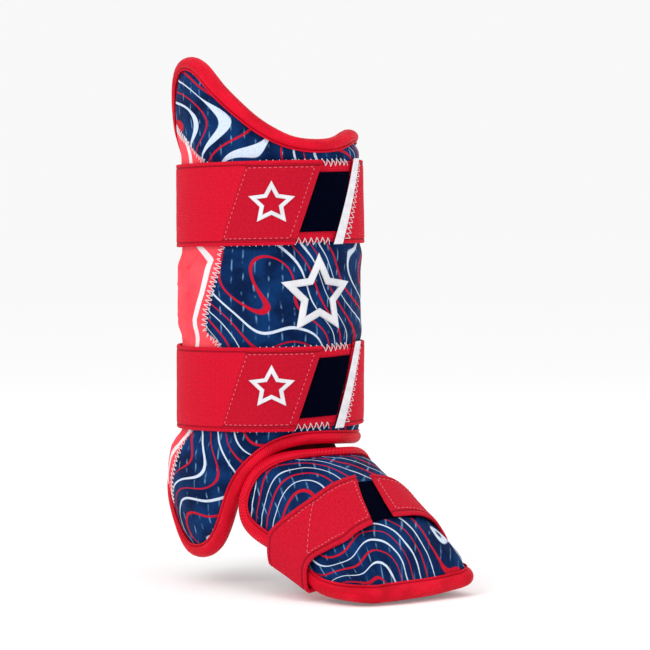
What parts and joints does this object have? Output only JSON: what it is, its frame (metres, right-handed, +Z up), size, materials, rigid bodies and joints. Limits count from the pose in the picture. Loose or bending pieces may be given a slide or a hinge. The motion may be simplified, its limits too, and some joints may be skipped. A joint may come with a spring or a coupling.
{
  "type": "batter's leg guard",
  "caption": "Padded guard worn on a batter's front leg: wraps the shin, closes with elastic straps, and carries a hinged-by-cloth plate over the instep and toes.",
  "frame": {"origin": "on the leg's axis, half way between the two closing straps, where the leg holds the guard", "axes": "+Z up the leg, -Y towards the toes, -X towards the outer side of the right leg"},
  "size_m": [0.1247, 0.2114, 0.3291],
  "materials": {
    "printed_cloth": "matte print on padded cloth",
    "coral_cloth": "matte stretch knit",
    "red_binding": "ribbed, slight sheen",
    "red_elastic": "matte woven elastic",
    "loop_pile": "matte pile",
    "white_tape": "satin woven tape",
    "white_rubber": "satin, moulded",
    "dark_cloth": "matte knit"
  },
  "bodies": {
    "root": {"shin_shell": "printed_cloth", "side_panel": "coral_cloth", "shin_binding": "red_binding", "foot_guard": "printed_cloth", "foot_binding": "red_binding", "foot_strap": "red_elastic", "foot_loop_pad": "loop_pile", "instep_gusset": "dark_cloth", "shin_badge": "white_rubber", "upper_strap": "red_elastic", "upper_strap_base": "red_elastic", "upper_loop_pad": "loop_pile", "upper_label": "white_tape", "upper_strap_badge": "white_rubber", "lower_strap": "red_elastic", "lower_strap_base": "red_elastic", "lower_loop_pad": "loop_pile", "lower_label": "white_tape", "lower_strap_badge": "white_rubber"}
  },
  "joints": []
}
